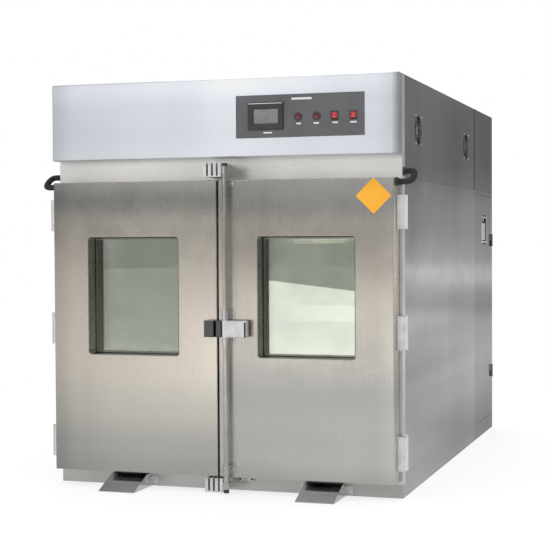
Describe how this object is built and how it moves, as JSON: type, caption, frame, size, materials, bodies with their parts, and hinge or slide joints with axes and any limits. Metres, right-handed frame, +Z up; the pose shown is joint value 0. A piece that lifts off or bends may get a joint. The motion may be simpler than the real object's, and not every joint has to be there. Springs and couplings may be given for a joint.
{
  "type": "laboratory oven",
  "caption": "Floor-standing precision drying oven with a circulating blower, windowed double doors, a vertical locking rod, a control hood and loading ramps.",
  "frame": {"origin": "middle of the cabinet's footprint, on the floor", "axes": "+X to the right seen from the front, +Y towards the back, +Z up; the doors face -Y"},
  "size_m": [1.483, 2.314, 1.544],
  "materials": {
    "hood_paint": "fine satin, pale",
    "body_paint": "brushed, grey",
    "frame_paint": "brushed, warm",
    "door_steel": "fine vertical brush",
    "chamber_steel": "smooth",
    "ramp_steel": "polished stainless",
    "bright_steel": "polished",
    "hinge_metal": "satin",
    "rubber_seal": "matt black",
    "oven_glass": "clear, slightly green",
    "screen_face": "grey, glass-like, unlit",
    "dark_panel": "satin, dark grey",
    "dark_plastic": "fine grain",
    "gloss_box": "glossy black",
    "switch_red": "glossy",
    "lamp_lens": "translucent, unlit",
    "wool": "fibrous",
    "galvanised": "zinc coated sheet",
    "motor_cast": "painted casting",
    "heater_metal": "oxidised",
    "fan_plastic": "black"
  },
  "bodies": {
    "cabinet": {"base_frame": "body_paint", "plinth_front": "frame_paint", "front_frame": "frame_paint", "chamber_liner": "chamber_steel", "rockwool_slabs": "wool", "side_air_ducts": "chamber_steel", "plenum_baffle": "chamber_steel", "heater_bank": "heater_metal", "blower_pedestal": "galvanised", "blower_motor": "motor_cast", "temperature_probe": "bright_steel", "floor_tracks": "chamber_steel", "left_side_panels": "body_paint", "right_side_panels": "body_paint", "roof_panel": "body_paint", "rear_panel": "body_paint", "hood_shell": "hood_paint", "control_panel": "dark_panel", "screen_bezel": "dark_plastic", "screen_glass": "screen_face", "indicator_lamps": "lamp_lens", "rocker_housings": "dark_plastic", "electrical_deck": "galvanised", "side_fan_frames": "fan_plastic", "side_fan_guards": "bright_steel", "exhaust_port": "bright_steel", "loading_ramps": "ramp_steel", "rod_keepers": "bright_steel", "cabinet_hinges": "hinge_metal", "cable_glands": "dark_plastic", "left_conduit": "rubber_seal", "right_conduit": "rubber_seal"},
    "left_door": {"left_door_shell": "door_steel", "left_door_liner": "chamber_steel", "left_window_frame": "door_steel", "left_door_glass": "oven_glass", "left_door_seal": "rubber_seal", "left_hinge_leaves": "hinge_metal", "strike_box": "gloss_box", "left_door_gland": "dark_plastic"},
    "right_door": {"right_door_shell": "door_steel", "right_door_liner": "chamber_steel", "right_window_frame": "door_steel", "right_door_glass": "oven_glass", "right_door_seal": "rubber_seal", "right_hinge_leaves": "hinge_metal", "rod_guides": "bright_steel", "latch_case": "gloss_box", "right_door_gland": "dark_plastic"},
    "door_lock": {"lock_rod": "bright_steel", "lock_lever": "bright_steel"},
    "blower": {"blower_wheel": "galvanised", "blower_shaft": "bright_steel"},
    "front_fan": {"front_fan_rotor": "fan_plastic"},
    "rear_fan": {"rear_fan_rotor": "fan_plastic"},
    "power_switch": {"power_rocker": "switch_red"},
    "heat_switch": {"heat_rocker": "switch_red"},
    "service_hatch": {"service_door": "body_paint"},
    "hatch_latch": {"latch_paddle": "bright_steel"},
    "damper": {"exhaust_damper": "bright_steel"}
  },
  "joints": [
    {"name": "right_door", "type": "hinge", "parent": "cabinet", "child": "right_door", "pos_m": [0.694, -1.0155, 0.605], "axis": [0, 0, 1], "range_deg": [0, 110], "deforming": ["right_conduit"]},
    {"name": "left_door", "type": "hinge", "parent": "cabinet", "child": "left_door", "pos_m": [-0.694, -1.0155, 0.605], "axis": [0, 0, -1], "range_deg": [0, 110], "deforming": ["left_conduit"]},
    {"name": "lock_lever", "type": "hinge", "parent": "right_door", "child": "door_lock", "pos_m": [0.04, -1.124, 0.616], "axis": [0, 0, -1], "range_deg": [-10, 90]},
    {"name": "power_rocker", "type": "hinge", "parent": "cabinet", "child": "power_switch", "pos_m": [0.448, -1.075, 1.394], "axis": [1, 0, 0], "range_deg": [0, 16]},
    {"name": "heat_rocker", "type": "hinge", "parent": "cabinet", "child": "heat_switch", "pos_m": [0.518, -1.075, 1.394], "axis": [1, 0, 0], "range_deg": [0, 16]},
    {"name": "front_fan", "type": "hinge", "parent": "cabinet", "child": "front_fan", "pos_m": [0.66, -0.739, 1.357], "axis": [1, 0, 0], "continuous": true},
    {"name": "rear_fan", "type": "hinge", "parent": "cabinet", "child": "rear_fan", "pos_m": [0.66, 0.278, 1.357], "axis": [1, 0, 0], "continuous": true},
    {"name": "blower", "type": "hinge", "parent": "cabinet", "child": "blower", "pos_m": [0, 0.5, 0.58], "axis": [0, 1, 0], "continuous": true},
    {"name": "service_hatch", "type": "hinge", "parent": "cabinet", "child": "service_hatch", "pos_m": [0.689, 0.9723, 0.61], "axis": [0, 0, 1], "range_deg": [0, 110]},
    {"name": "hatch_latch", "type": "hinge", "parent": "service_hatch", "child": "hatch_latch", "pos_m": [0.6765, 0.77, 1.013], "axis": [0, -1, 0], "range_deg": [0, 50], "stiffness_Nm_per_rad": 0.6, "springref_deg": -5.73},
    {"name": "exhaust_damper", "type": "hinge", "parent": "cabinet", "child": "damper", "pos_m": [0.25, 1.0415, 0.9], "axis": [0, 0, 1], "range_deg": [0, 90]}
  ]
}
